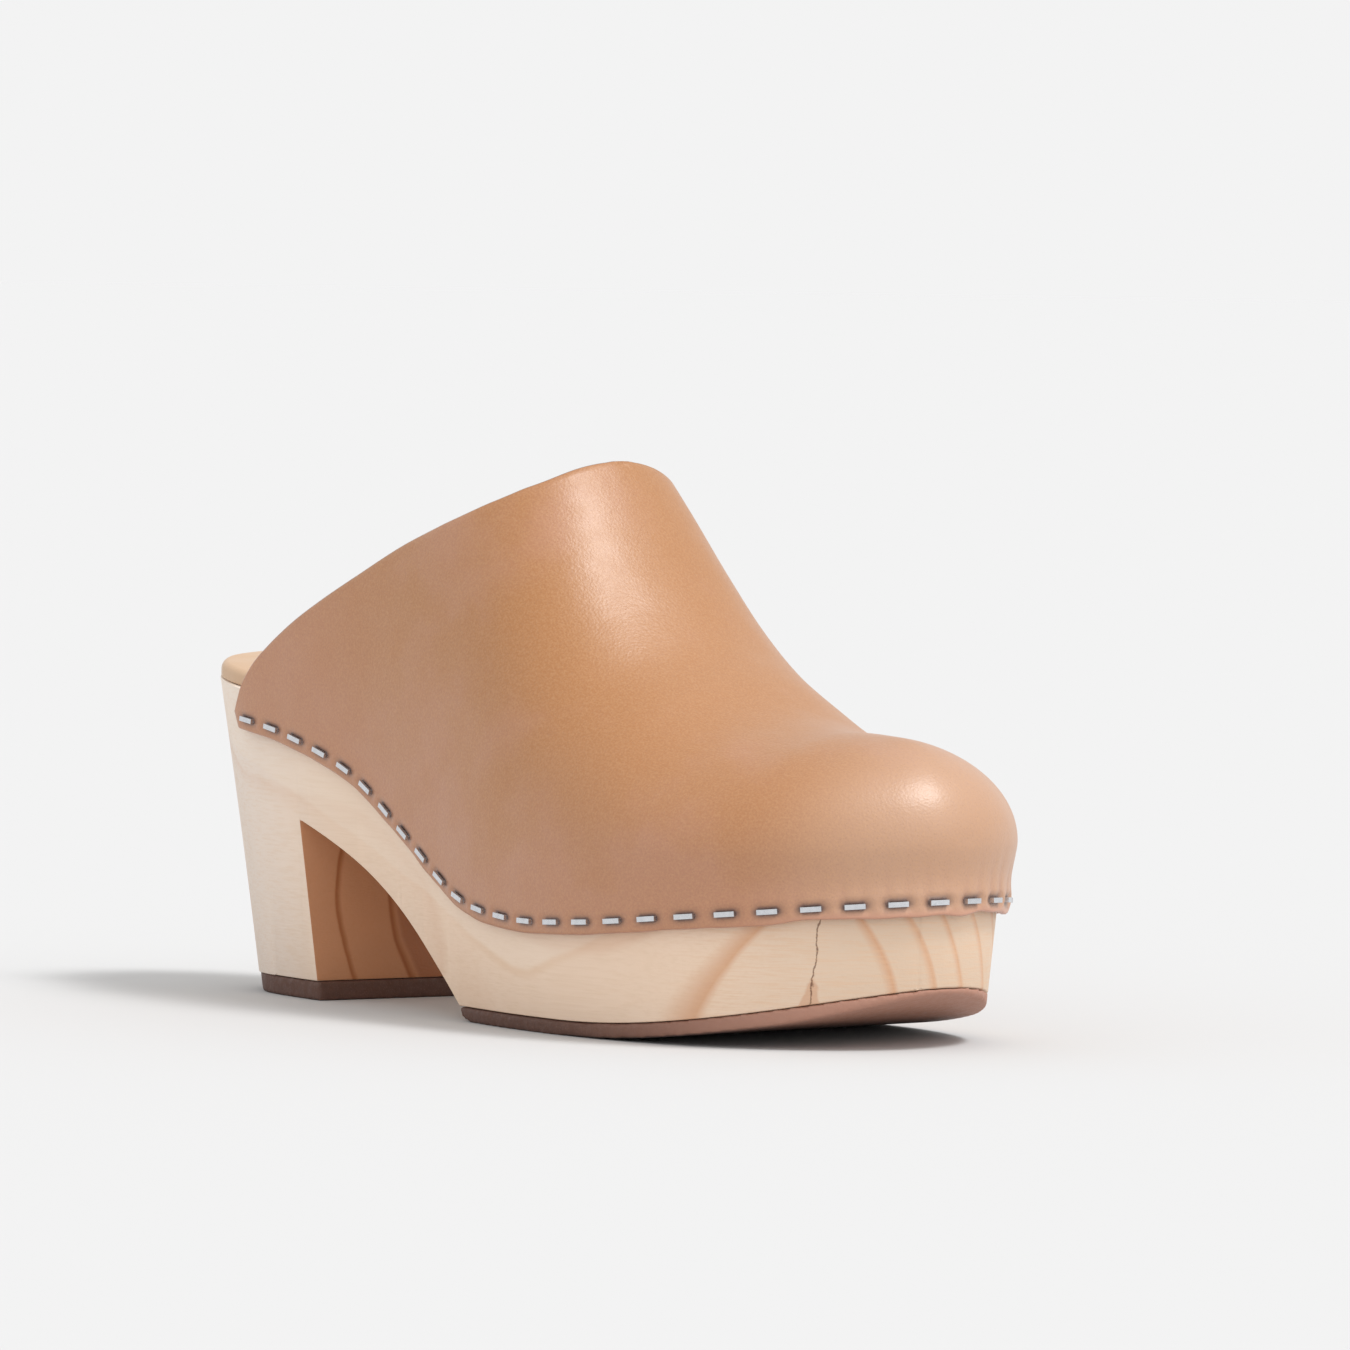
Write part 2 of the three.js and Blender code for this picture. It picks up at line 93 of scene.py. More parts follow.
def profile(points):
    """A smooth curve through (x, value) points, as a function of x."""
    x, y = np.array(points, float).T
    width = np.diff(x)
    rise = np.diff(y) / width
    slope = np.empty_like(x)
    slope[0], slope[-1] = rise[0], rise[-1]
    slope[1:-1] = (rise[:-1] * width[1:] + rise[1:] * width[:-1]) / (width[1:] + width[:-1])

    def curve(at):
        at = np.clip(np.asarray(at, float), x[0], x[-1])
        i = np.clip(np.searchsorted(x, at) - 1, 0, len(width) - 1)
        t = (at - x[i]) / width[i]
        hold = t * t * (3 - 2 * t)
        bend = t * (1 - t) * (slope[i] * (1 - t) - slope[i + 1] * t)
        return y[i] * (1 - hold) + y[i + 1] * hold + bend * width[i]

    return curve


def smooth_step(at, low, high):
    """0 below low, 1 above high and an even ease between them."""
    t = np.clip((np.asarray(at, float) - low) / (high - low), 0, 1)
    return t * t * (3 - 2 * t)


footbed_height = profile([
    (0, 76), (25, 73), (50, 69), (75, 61), (100, 47.5), (122, 36), (145, 32.3), (170, 33),
    (200, 36), (240, 40.5),
])
arch_height = profile([(54, 42.5), (60, 40.5), (80, 32), (100, 20.5), (112, 11.5), (122, 3.2)])
undercut = profile([(0, 15), (24, 9.3), (50, 4.8), (80, 3.5), (240, 3.5)])
topline_height = profile([
    (27, 66), (32, 74.4), (36, 78.8), (42, 83.5), (51, 89.3), (61, 94.9), (75, 101.9),
    (89, 108.4), (103, 113.9), (114, 118.5), (122, 122.8), (126, 126), (128, 129.2),
])
crest_height = profile([
    (80, 154), (96, 153.5), (104, 151.5), (112, 147.1), (120, 139.2), (128, 129.2),
    (137, 116.2), (147, 102.3), (158, 89.9), (170, 80.9), (182, 73.6), (194, 70.4),
    (206, 69.9), (220, 69.4),
])
crest_side = profile([(27, 0), (128, 0), (218, 4)])
insole_inset = profile([(0, 1), (20, 1), (34, 3.4), (240, 3.4)])

LATERAL_EDGE = [
    (0, 0), (7, -19.5), (24, -30), (50, -32.3), (80, -33.5), (110, -38.5), (140, -44.5),
    (160, -46.5), (180, -45.5), (200, -40.5), (220, -28), (233, -12), (238, 4),
]
MEDIAL_EDGE = [
    (0, 0), (7, 18), (24, 27), (50, 29), (80, 29.5), (110, 34), (140, 41),
    (160, 45.5), (180, 46), (200, 42.8), (220, 34.4), (233, 21.4), (238, 4),
]


def angle_at(x):
    """The outline's angle: 0 at the heel and PI at the toe, along either side."""
    return np.arccos(np.clip(1 - 2 * np.asarray(x, float) / SOLE_LENGTH, -1, 1))


def x_at(angle):
    """The distance from the heel at an outline angle."""
    return SOLE_LENGTH / 2 * (1 - np.cos(angle))


def by_angle(points):
    """An edge's points as a function of the outline angle."""
    return profile([(float(angle_at(x)), y) for x, y in points])


# Each side's edge, and the direction in Y that is outwards.
SIDES = {"lateral": (by_angle(LATERAL_EDGE), -1), "medial": (by_angle(MEDIAL_EDGE), 1)}


def toe_roll(x):
    """The height of the tread's underside."""
    return np.maximum(0, np.asarray(x, float) - TREAD_FLAT_END) ** 2 / (2 * TOE_ROLL_RADIUS)


ANGLE_STEP = 1e-3  # for an edge's direction


def edge_points(side, angle):
    """The top edge of the wood on one side, and its level outward normals."""
    edge, outward = SIDES[side]
    angle = np.asarray(angle, float)
    x = x_at(angle)
    low = np.clip(angle - ANGLE_STEP, 0, math.pi)
    high = np.clip(angle + ANGLE_STEP, 0, math.pi)
    along_x = SOLE_LENGTH / 2 * np.sin(angle)
    along_y = (edge(high) - edge(low)) / (high - low)
    normals = np.stack([-outward * along_y, outward * along_x, 0 * x], -1)
    normals = normals / np.linalg.norm(normals, axis=-1, keepdims=True)
    return np.stack([x, edge(angle), footbed_height(x)], -1), normals


def wall_points(side, angle, z, outwards=0):
    """Points on the tapered side of the wood at height z, moved outwards."""
    points, normals = edge_points(side, angle)
    inset = undercut(points[..., 0]) * (1 - z / points[..., 2])
    points = points + normals * (outwards - inset)[..., None]
    points[..., 2] = z
    return points


# ---- Meshes ------------------------------------------------------------------------------------

# Added to a place measured from the heel seat, SHIFT gives that place in the frame.
wood_low, wood_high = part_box("wood_sole")
all_round = np.linspace(0, math.pi, 600)
outline_y = np.array([edge_points(side, all_round)[0][:, 1] for side in SIDES])
SHIFT = np.array([
    wood_low.x / MM,
    ((wood_low.y + wood_high.y) / MM - outline_y.min() - outline_y.max()) / 2,
    0,
])

BOX_MARGIN = 0.005  # how far inside a CAD node's box a piece is kept
WELD = 0.004  # points this close are joined


def new_object(name, points, faces):
    """A smooth-shaded mesh from points in millimetres."""
    mesh = bpy.data.meshes.new(name)
    places = (np.asarray(points, float) + SHIFT) * MM
    mesh.from_pydata(places.tolist(), [], [tuple(map(int, face)) for face in faces])
    mesh.polygons.foreach_set("use_smooth", [True] * len(mesh.polygons))
    mesh.update()
    piece = bpy.data.objects.new(name, mesh)
    bpy.context.scene.collection.objects.link(piece)
    return piece


def points_of(piece):
    """A mesh's points, in millimetres."""
    places = np.empty(len(piece.data.vertices) * 3, np.float32)
    piece.data.vertices.foreach_get("co", places)
    return places.reshape(-1, 3).astype(float) / MM - SHIFT


def normals_of(piece):
    """A mesh's normal at each point."""
    normals = np.empty(len(piece.data.vertices) * 3, np.float32)
    piece.data.vertex_normals.foreach_get("vector", normals)
    return normals.reshape(-1, 3).astype(float)


def move_points(piece, points):
    places = ((points + SHIFT) * MM).astype(np.float32)
    piece.data.vertices.foreach_set("co", places.ravel())
    piece.data.update()


def keep_within(piece, node):
    """Holds a piece inside the box of a CAD node."""
    low, high = (np.array(corner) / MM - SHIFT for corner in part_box(node))
    move_points(piece, np.clip(points_of(piece), low + BOX_MARGIN, high - BOX_MARGIN))
    return piece


def set_field(piece, name, values):
    """A number at each point, for the materials to read."""
    field = piece.data.attributes.new(name, "FLOAT", "POINT")
    field.data.foreach_set("value", np.asarray(values, np.float32))


def weld(piece, distance=WELD):
    """Joins coincident points and turns the faces one way, outwards if the mesh is closed."""
    work = bmesh.new()
    work.from_mesh(piece.data)
    bmesh.ops.remove_doubles(work, verts=work.verts, dist=distance * MM)
    bmesh.ops.dissolve_degenerate(work, edges=work.edges, dist=distance * MM)
    bmesh.ops.recalc_face_normals(work, faces=work.faces)
    work.to_mesh(piece.data)
    work.free()
    return piece


def face_away(piece, centre_line):
    """Turns a sheet's faces away from a line of points, given as a function of x."""
    points, normals = points_of(piece), normals_of(piece)
    if (normals * (points - centre_line(points[:, 0]))).sum() < 0:
        piece.data.flip_normals()
    return piece


def apply_modifiers(piece):
    """Keeps what the modifiers make as the piece's own mesh."""
    graph = bpy.context.evaluated_depsgraph_get()
    old, piece.data = piece.data, bpy.data.meshes.new_from_object(piece.evaluated_get(graph))
    piece.modifiers.clear()
    bpy.data.meshes.remove(old)
    return piece


def distances(points, line):
    """How far each point is from the nearest of a line of points."""
    tree = kdtree.KDTree(len(line))
    for i, place in enumerate(line):
        tree.insert(place, i)
    tree.balance()
    return np.array([tree.find(place)[2] for place in points])


def grid_faces(rows, columns, first=0):
    """The faces of a grid of points, given row by row from point number first."""
    here = first + np.arange(rows - 1)[:, None] * columns + np.arange(columns - 1)
    quads = np.stack([here, here + 1, here + columns + 1, here + columns], -1)
    return quads.reshape(-1, 4)


RIM_STEPS = 3  # points across a rounded rim


def thicken(name, sheet, depth, thickness, rim):
    """A closed skin under a sheet, from depth to depth + thickness below it, with rounded rims
    that stand out by rim. Returns it, the sheet's point that each of its points comes from, and
    which face each lies on: 0 outer, 1 inner and 2 the rims."""
    points, normals = points_of(sheet), normals_of(sheet)
    count = len(points)
    depth = np.broadcast_to(depth, count)
    faces = [tuple(face.vertices) for face in sheet.data.polygons]
    sides = {(a, b) for face in faces for a, b in zip(face, face[1:] + face[:1])}
    border = sorted((a, b) for a, b in sides if (b, a) not in sides)
    onward, back = dict(border), {b: a for a, b in border}
    lip = np.array(sorted(onward))
    ahead, behind = [onward[i] for i in lip], [back[i] for i in lip]
    run = points[ahead] - points[behind]
    out = np.cross(run, normals[lip])
    out /= np.maximum(np.linalg.norm(out, axis=1, keepdims=True), 1e-9)
    middle = points[lip] - normals[lip] * (depth[lip] + thickness / 2)[:, None]
    outer = points - normals * depth[:, None]
    inner = outer - normals * thickness
    loops = []
    for k in range(1, RIM_STEPS + 1):
        turn = math.pi * k / (RIM_STEPS + 1)
        rise = normals[lip] * math.cos(turn) * thickness / 2
        loops.append(middle + rise + out * math.sin(turn) * rim)
    place = {v: i for i, v in enumerate(lip.tolist())}
    ladders = []

    def over_the_rim(v):
        return [v, *(2 * count + k * len(lip) + place[v] for k in range(RIM_STEPS)), count + v]

    for a, b in border:
        left, right = over_the_rim(a), over_the_rim(b)
        for k in range(RIM_STEPS + 1):
            ladders.append((right[k], left[k], left[k + 1], right[k + 1]))
    under = [tuple(count + v for v in reversed(face)) for face in faces]
    piece = new_object(name, np.concatenate([outer, inner, *loops]), faces + under + ladders)
    source = np.concatenate([np.arange(count), np.arange(count), *[lip] * RIM_STEPS])
    layer = np.repeat([0, 1, 2], [count, count, len(lip) * RIM_STEPS])
    bpy.data.objects.remove(sheet)
    return piece, source, layer


# ---- Wood, tread and lift: one tapered block, cut, with softened edges -------------------------


BLOCK_STEPS = 241
FOOTBED_STEPS = 9
HALF_WIDTH = 70  # wider than half the clog
BELOW = -3  # cutters reach past the clog to these places
BEHIND = -20
FRONT = 260
WAIST = 100  # within the arch
SEAM = 0.12  # between the wood and the rubber
ARCH_STEPS = 50
ROLL_STEPS = 40


def loft_block(name):
    """The sole's outline from the ground to the footbed, with its taper."""
    angles = np.linspace(0, math.pi, BLOCK_STEPS)
    left, right = (edge_points(side, angles)[0] for side in SIDES)
    across = np.linspace(0, 1, FOOTBED_STEPS)[:, None, None]
    top = left + (right - left) * across
    ground = [wall_points(side, angles, np.zeros(len(angles))) for side in ("medial", "lateral")]
    rings = np.concatenate([top, ground, top[:1]])
    return weld(new_object(name, rings.reshape(-1, 3), grid_faces(*rings.shape[:2])))


def across_sole(outline, skew=0):
    """A side outline of (x, z) points carried right across the sole, skewed forward with +Y."""
    count = len(outline)
    points = [(x + skew * y, y, z) for y in (-HALF_WIDTH, HALF_WIDTH) for x, z in outline]
    faces = [tuple(range(count)), tuple(range(2 * count - 1, count - 1, -1))]
    for i in range(count):
        following = (i + 1) % count
        faces.append((i, i + count, following + count, following))
    return weld(new_object("cutter", points, faces))


def cut(piece, cutter, operation="DIFFERENCE"):
    """Cuts a piece with another, which is used up."""
    modifier = piece.modifiers.new("cut", "BOOLEAN")
    modifier.operation = operation
    modifier.solver = "EXACT"
    modifier.object = cutter
    apply_modifiers(piece)
    bpy.data.objects.remove(cutter)


def soften(piece, grain, rounds):
    """Rebuilds the skin at an even grain and rounds its edges a little."""
    skin = piece.modifiers.new("skin", "REMESH")
    skin.mode = "VOXEL"
    skin.voxel_size = grain * MM
    rounding = piece.modifiers.new("round", "SMOOTH")
    rounding.factor = 0.5
    rounding.iterations = rounds
    apply_modifiers(piece)
    piece.data.polygons.foreach_set("use_smooth", [True] * len(piece.data.polygons))
    return piece


def under_roll(lift, rear):
    """Everything below the rolled line of the tread, raised by lift."""
    ahead = np.linspace(TREAD_FLAT_END, FRONT, ROLL_STEPS)
    rolled = [(x, float(toe_roll(x)) + lift) for x in ahead]
    return across_sole([(rear, BELOW), (rear, lift), *rolled, (FRONT, BELOW)])


def heel_slab(height, front):
    """Everything under the heel, up to a height and forward to front, skewed as the breast is."""
    corners = [(BEHIND, BELOW), (BEHIND, height), (front, height), (front, BELOW)]
    return across_sole(corners, HEEL_SKEW)


HEEL_CLEAR = 2  # how far the space for the lift runs on into the arch
AFTER_CUTS = 0.03  # points this close are joined after the cuts
EASED_EDGE = 0.4  # width of the wood's bevelled edges


def make_wood():
    """The block, with the arch and the room for the rubber cut away and its edges eased."""
    wood = loft_block("carved_wood")
    along = np.linspace(ARCH_REAR, ARCH_FRONT, ARCH_STEPS)
    under = [(x, float(arch_height(x))) for x in along]
    cut(wood, across_sole([(BREAST_FOOT, BELOW), *under, (ARCH_FRONT, BELOW)], HEEL_SKEW))
    cut(wood, under_roll(TREAD_THICKNESS + SEAM, WAIST))
    cut(wood, heel_slab(LIFT_THICKNESS + SEAM, BREAST_FOOT + HEEL_CLEAR))
    weld(wood, AFTER_CUTS)
    eased = wood.modifiers.new("eased", "BEVEL")
    eased.width = EASED_EDGE * MM
    eased.segments = 2
    eased.limit_method = "ANGLE"
    eased.angle_limit = math.radians(45)
    eased.use_clamp_overlap = False
    apply_modifiers(wood)
    wood.data.set_sharp_from_angle(angle=math.radians(32))
    return wood


TIP_START = 212  # the tread thins to its tip from here
TIP_CURVE = 0.004
TREAD_REAR = [(4, 0), (1.2, 0.7), (0, 2.2), (0, 9)]  # its rounded rear, ahead and up
TREAD_BACK = 60  # behind all of the tread
TREAD_SLACK = 80  # the sheet first reaches back to here, and then its rear is cut


def make_tread():
    """The sheet under the forepart, rolled up at the toe and thinned at the tip."""
    tread = loft_block("rubber_tread")
    cut(tread, under_roll(TREAD_THICKNESS, TREAD_SLACK), "INTERSECT")
    cut(tread, under_roll(0, BEHIND))
    rear = [(ARCH_FRONT + ahead, up) for ahead, up in TREAD_REAR]
    rear = [(TREAD_BACK, BELOW), (rear[0][0], BELOW), *rear, (TREAD_BACK, rear[-1][1])]
    cut(tread, across_sole(rear, HEEL_SKEW))
    tip = [(TIP_START, BELOW), (TIP_START, float(toe_roll(TIP_START)))]
    for x in range(TIP_START, FRONT):
        tip.append((x, float(toe_roll(x)) + (x - TIP_START) ** 2 * TIP_CURVE))
    cut(tread, across_sole([*tip, (FRONT, BELOW)]))
    return soften(tread, 0.6, 5)


def make_lift():
    """The slab under the heel."""
    lift = loft_block("rubber_lift")
    cut(lift, heel_slab(LIFT_THICKNESS, BREAST_FOOT), "INTERSECT")
    cut(lift, under_roll(0, BEHIND))
    return soften(lift, 0.5, 10)


# ---- Vamp: hoops from either edge of the wood up to a crest line ------------------------------


def vamp_points(side, angle, share):
    """Points of the vamp's outer face. share runs from -1 at the lower edge to 0 at the rim of
    the wood, and on to 1 at the crest."""
    foot, normal = edge_points(side, angle)
    x = foot[..., 0]
    forward = np.maximum(0, x - TOE_START) / (SOLE_LENGTH - TOE_START)
    crest_x = x - TOE_SETBACK * forward ** 2
    crest = np.stack([crest_x, crest_side(crest_x), crest_height(crest_x)], -1)
    slope = crest_height(crest_x + 0.5) - crest_height(crest_x - 0.5)
    toe_share = forward ** 1.5
    bulge = FLANK_BULGE + (TOE_BULGE - FLANK_BULGE) * toe_share
    rise = FLANK_RISE + (TOE_RISE - FLANK_RISE) * toe_share
    reach = FLANK_REACH + (TOE_REACH - FLANK_REACH) * toe_share
    start = foot + normal * (LEATHER + GAP)
    upright = start + normal * bulge[..., None]
    upright[..., 2] += rise * (crest[..., 2] - start[..., 2])
    level = (start - crest) * reach[..., None]
    arrival = crest + level
    arrival[..., 2] = crest[..., 2] + level[..., 0] * slope
    t = np.clip(share, 0, 1)[..., None]
    hoop = (1 - t) ** 3 * start + 3 * t * (1 - t) ** 2 * upright
    hoop = hoop + 3 * t * t * (1 - t) * arrival + t ** 3 * crest
    z = foot[..., 2] + np.minimum(share, 0) * EDGE_OVERLAP
    wall = wall_points(side, angle, z, LEATHER + GAP)
    return np.where((share < 0)[..., None], wall, hoop)


HALVINGS = 30


def topline_share(side, x):
    """The share at which each hoop meets the topline."""
    low, high = np.full_like(x, -1), np.ones_like(x)
    target, angle = topline_height(x), angle_at(x)
    for _ in range(HALVINGS):
        middle = (low + high) / 2
        below = vamp_points(side, angle, middle)[..., 2] < target
        low, high = np.where(below, middle, low), np.where(below, high, middle)
    return low


def lengths(points):
    """The distance travelled along each line of points, from its start."""
    steps = np.linalg.norm(np.diff(points, axis=0), axis=-1)
    return np.concatenate([np.zeros((1, *steps.shape[1:])), np.cumsum(steps, axis=0)])


DENSE = 800  # points along a line before it is spaced evenly
HOOP_STEPS = 300
HOOP_LENGTH = 130
TRIM_EASE = 0.06  # the trim fades out over this share before the crest
EVEN_ROWS = 0.35  # 1 spaces the rows evenly, 0 closes them up at the lower edge


def vamp_grid(side, columns, rows, low_share, foot_rear, top_rear, trim):
    """One side of the vamp as a grid. Columns fan from the lower edge to the topline and the
    crest, and rows lie closer together near the lower edge. trim cuts back the topline."""
    opening = np.linspace(top_rear, THROAT, DENSE)
    top_angle = np.concatenate([angle_at(opening), np.linspace(angle_at(THROAT), math.pi, DENSE)])
    top_share = np.concatenate([topline_share(side, opening), np.ones(DENSE)])
    top_share = np.maximum(top_share, low_share)

    def evenly(points):
        run = lengths(points)
        return np.interp(np.linspace(0, run[-1], columns), run, np.arange(len(points)))

    place = evenly(vamp_points("lateral", top_angle, top_share))
    top_angle = np.interp(place, np.arange(2 * DENSE), top_angle)
    top_share = np.interp(place, np.arange(2 * DENSE), top_share)
    foot_angle = np.linspace(angle_at(foot_rear), math.pi, DENSE)
    place = evenly(vamp_points(side, foot_angle, np.full(DENSE, low_share)))
    foot_angle = np.interp(place, np.arange(DENSE), foot_angle)

    s = np.linspace(0, 1, HOOP_STEPS)[:, None]
    below = (np.minimum(top_share, 0) - min(low_share, 0)) * EDGE_OVERLAP
    above = (np.maximum(top_share, 0) - max(low_share, 0)) * HOOP_LENGTH
    travelled = s * (below + above)
    rising = np.minimum(travelled, below) / EDGE_OVERLAP
    arching = np.maximum(travelled - below, 0) / HOOP_LENGTH
    share = low_share + rising + arching
    angle = foot_angle + (top_angle - foot_angle) * s
    run = lengths(vamp_points(side, angle, share))
    angles, shares = np.empty((rows, columns)), np.empty((rows, columns))
    spaced = np.linspace(0, 1, rows)
    for c in range(columns):
        end = run[-1, c] - trim * min(1, (1 - top_share[c]) / TRIM_EASE)
        at = end * (EVEN_ROWS * spaced + (1 - EVEN_ROWS) * spaced ** 2)
        angles[:, c] = np.interp(at, run[:, c], angle[:, c])
        shares[:, c] = np.interp(at, run[:, c], share[:, c])
    return ease_the_rim(vamp_points(side, angles, shares), shares)


RIM_WINDOW = (-0.5, -0.2, 0.04, 0.14)  # shares between which the smoothing comes and goes
RIM_ROUNDS = 40


def ease_the_rim(points, shares):
    """Smooths the columns where the leather leaves the wood, clear of the staples."""
    low, inner_low, inner_high, high = RIM_WINDOW
    near = smooth_step(shares, low, inner_low) * (1 - smooth_step(shares, inner_high, high))
    near = near[1:-1, :, None] * 0.5
    for _ in range(RIM_ROUNDS):
        middle = (points[:-2] + points[2:]) / 2
        points[1:-1] += (middle - points[1:-1]) * near
    return points


CORE_END, CORE_UP = 190, 40  # end and height of a line inside the vamp


def vamp_sheet(name, columns, rows, **ends):
    """Both sides of the vamp's outer face, joined along the crest and at the tip."""
    grids = [vamp_grid(side, columns, rows, **ends) for side in SIDES]
    faces = [grid_faces(rows, columns), grid_faces(rows, columns, rows * columns)[:, ::-1]]
    points = np.concatenate([grid.reshape(-1, 3) for grid in grids])
    sheet = weld(new_object(name, points, np.concatenate(faces)))

    def core(x):
        return np.stack([np.minimum(x, CORE_END), 0 * x, 0 * x + CORE_UP], -1)

    return face_away(sheet, core)


def round_the_toe(line_of):
    """Points right round a line that runs down the lateral side and back on the medial side."""
    angles = np.linspace(angle_at(STAPLE_REAR), math.pi, DENSE)
    return np.concatenate([line_of("lateral", angles), line_of("medial", angles)[-2::-1]])


def staple_line(side, angle):
    """The line of the staples' crowns on the vamp."""
    return wall_points(side, angle, footbed_height(x_at(angle)) - STAPLE_DROP, LEATHER + GAP)


def lower_line(side, angle):
    """A line along the vamp's lower edge."""
    return vamp_points(side, angle, np.full_like(angle, -0.97))


def staple_frames():
    """The middle of each staple's crown and the direction that it lies in."""
    line = round_the_toe(staple_line)
    run = lengths(line)
    at = np.linspace(0, run[-1], STAPLE_COUNT)

    def along_line(distance):
        return np.stack([np.interp(distance, run, line[:, k]) for k in range(3)], -1)

    along = along_line(at + 0.5) - along_line(at - 0.5)
    return list(zip(along_line(at), along / np.linalg.norm(along, axis=1, keepdims=True)))


CROWN_HALF = 0.65  # a little over half the width of a staple's wire
PUCKER_START, PUCKER_FULL = 196, 236
PUCKER_DEPTH = 0.5
FAR = 99.0  # further than any point is from a crown
VAMP_COLUMNS, VAMP_ROWS = 260, 78
LINING_COLUMNS, LINING_ROWS = 170, 44


def waves(points, scale, seed, count=14):
    """Smooth noise of about unit size, as a sum of sine waves."""
    drawn = np.random.default_rng(seed)
    total = np.zeros(len(points))
    for _ in range(count):
        direction = drawn.normal(size=3)
        direction *= drawn.uniform(0.6, 1.5) / scale / np.linalg.norm(direction)
        total += np.sin(points @ direction * 2 * math.pi + drawn.uniform(0, 2 * math.pi))
    return total / math.sqrt(count)


def staple_marks(points):
    """Each point's distance from the nearest crown, and how deep it lies in the puckers that
    rise from the ends of the crowns round the toe."""
    crown, pucker = np.full(len(points), FAR), np.zeros(len(points))
    drawn = np.random.default_rng(11)
    for middle, along in staple_frames():
        away = points - middle
        run = away @ along
        off_end = np.clip(run, -STAPLE_CROWN / 2, STAPLE_CROWN / 2)
        crown = np.minimum(crown, np.linalg.norm(away - off_end[:, None] * along, axis=1))
        strength = smooth_step(middle[0], PUCKER_START, PUCKER_FULL) * drawn.uniform(0.5, 1.2)
        lean, width = drawn.uniform(-0.15, 0.15), drawn.uniform(0.7, 1.3)
        rising = smooth_step(away[:, 2], -1, 2) * np.exp(-np.maximum(away[:, 2], 0) / 5)
        rising *= np.linalg.norm(away, axis=1) < 30
        for end in (-STAPLE_CROWN / 2, STAPLE_CROWN / 2):
            across = (run - end - lean * away[:, 2]) / width
            gather = strength * drawn.uniform(0.6, 1.1)
            pucker += gather * rising * np.exp(-np.minimum(across ** 2, 50))
    return crown, pucker


def make_vamp():
    """The leather, drawn in under the staples, swollen between them and wavy at its edge."""
    sheet = vamp_sheet(
        "vamp_sheet", VAMP_COLUMNS, VAMP_ROWS,
        low_share=-0.94, foot_rear=29.5, top_rear=28, trim=0.6,
    )
    points, normals = points_of(sheet), normals_of(sheet)
    crown, pucker = staple_marks(points)
    band = np.exp(-(distances(points, round_the_toe(staple_line)) / 3.5) ** 2)
    toe = smooth_step(points[:, 0], 200, 232)
    raised = (0.42 + 0.35 * toe) * band * smooth_step(crown, CROWN_HALF, CROWN_HALF + 1.8)
    lower = distances(points, round_the_toe(lower_line))
    edge_wave = 0.15 * waves(points, 17, 5) * np.exp(-lower / 2.5)
    points = points + normals * (raised - PUCKER_DEPTH * pucker + edge_wave)[:, None]
    points[:, 2] += (0.08 + 0.3 * toe) * waves(points, 15, 6) * np.exp(-lower / 2)
    move_points(sheet, points)
    piece, source, layer = thicken("leather_vamp", sheet, 0, LEATHER - 0.05, 0.5)
    set_field(piece, "low", np.exp(-lower / 16)[source])
    set_field(piece, "raw", layer == 2)
    set_field(piece, "lip", (toe * np.exp(-(lower / 1.3) ** 2))[source])
    # A field for painted shade round the staples' crowns.
    set_field(piece, "staple_shade", np.exp(-np.maximum(crown - CROWN_HALF, 0) / 0.45)[source])
    # The puckers' depth, which the leather's colour also darkens as painted shade.
    set_field(piece, "pucker", np.clip(pucker, 0, 1)[source])
    set_field(piece, "inner", layer == 1)
    return keep_within(piece, "vamp")


def make_lining():
    """The lining hide, which lies under the vamp and deeper under the toe's stiffener."""
    sheet = vamp_sheet(
        "lining_sheet", LINING_COLUMNS, LINING_ROWS,
        low_share=0.004, foot_rear=33, top_rear=33, trim=1.0,
    )
    x = points_of(sheet)[:, 0]
    depth = LEATHER + GAP + PUFF_ROOM * smooth_step(x, 176, 188)
    return thicken("leather_lining", sheet, depth, LINING, 0.3)[0]


# ---- Insole --------------------------------------------------------------------------------------


FLUSH = 0.6  # the cover stands this far outside its inset
SIDE_HEIGHT = 1.5  # height of its upright side
SHOULDER_WIDTH = 1.9  # width of the rounded edge above it
SIDE_INSET = 0.1
MIDDLE_STEPS = 40


def make_insole():
    """The padded leather cover: up from the wood, over a rounded edge and across a low crown."""
    angles = np.concatenate([np.linspace(0, 0.5, 30)[:-1], np.linspace(0.5, math.pi, 190)])
    shoulder_height = INSOLE_EDGE + INSOLE_SHOULDER - SIDE_HEIGHT

    def edge_row(side, inward, height):
        point, normal = edge_points(side, angles)
        inset = insole_inset(point[..., 0]) - FLUSH + inward
        point = point - normal * inset[..., None]
        point[..., 2] = footbed_height(x_at(angles)) + height
        return point

    def edge_rows(side):
        rows = [edge_row(side, SIDE_INSET, GAP + 0.5 * k) for k in range(3)]
        for a in np.linspace(0.1, math.pi / 2, 6):
            inward = SIDE_INSET + SHOULDER_WIDTH * (1 - math.cos(a))
            rows.append(edge_row(side, inward, GAP + SIDE_HEIGHT + shoulder_height * math.sin(a)))
        return rows

    lateral, medial = edge_rows("lateral"), edge_rows("medial")
    middle = []
    for share in np.linspace(0, 1, MIDDLE_STEPS)[1:-1]:
        point = lateral[-1] + (medial[-1] - lateral[-1]) * share
        swell = 1 - (2 * share - 1) ** 2
        point[..., 2] += INSOLE_CROWN * swell * np.sin(angles)
        middle.append(point)
    rows = np.array(lateral + middle + medial[::-1])
    sheet = weld(new_object("insole_sheet", rows.reshape(-1, 3), grid_faces(*rows.shape[:2])))
    face_away(sheet, lambda x: np.stack([x, 0 * x, footbed_height(x) - 20], -1))
    return thicken("padded_insole", sheet, 0, COVER - 0.1, 0.15)[0]


# ---- Materials ----------------------------------------------------------------------------------


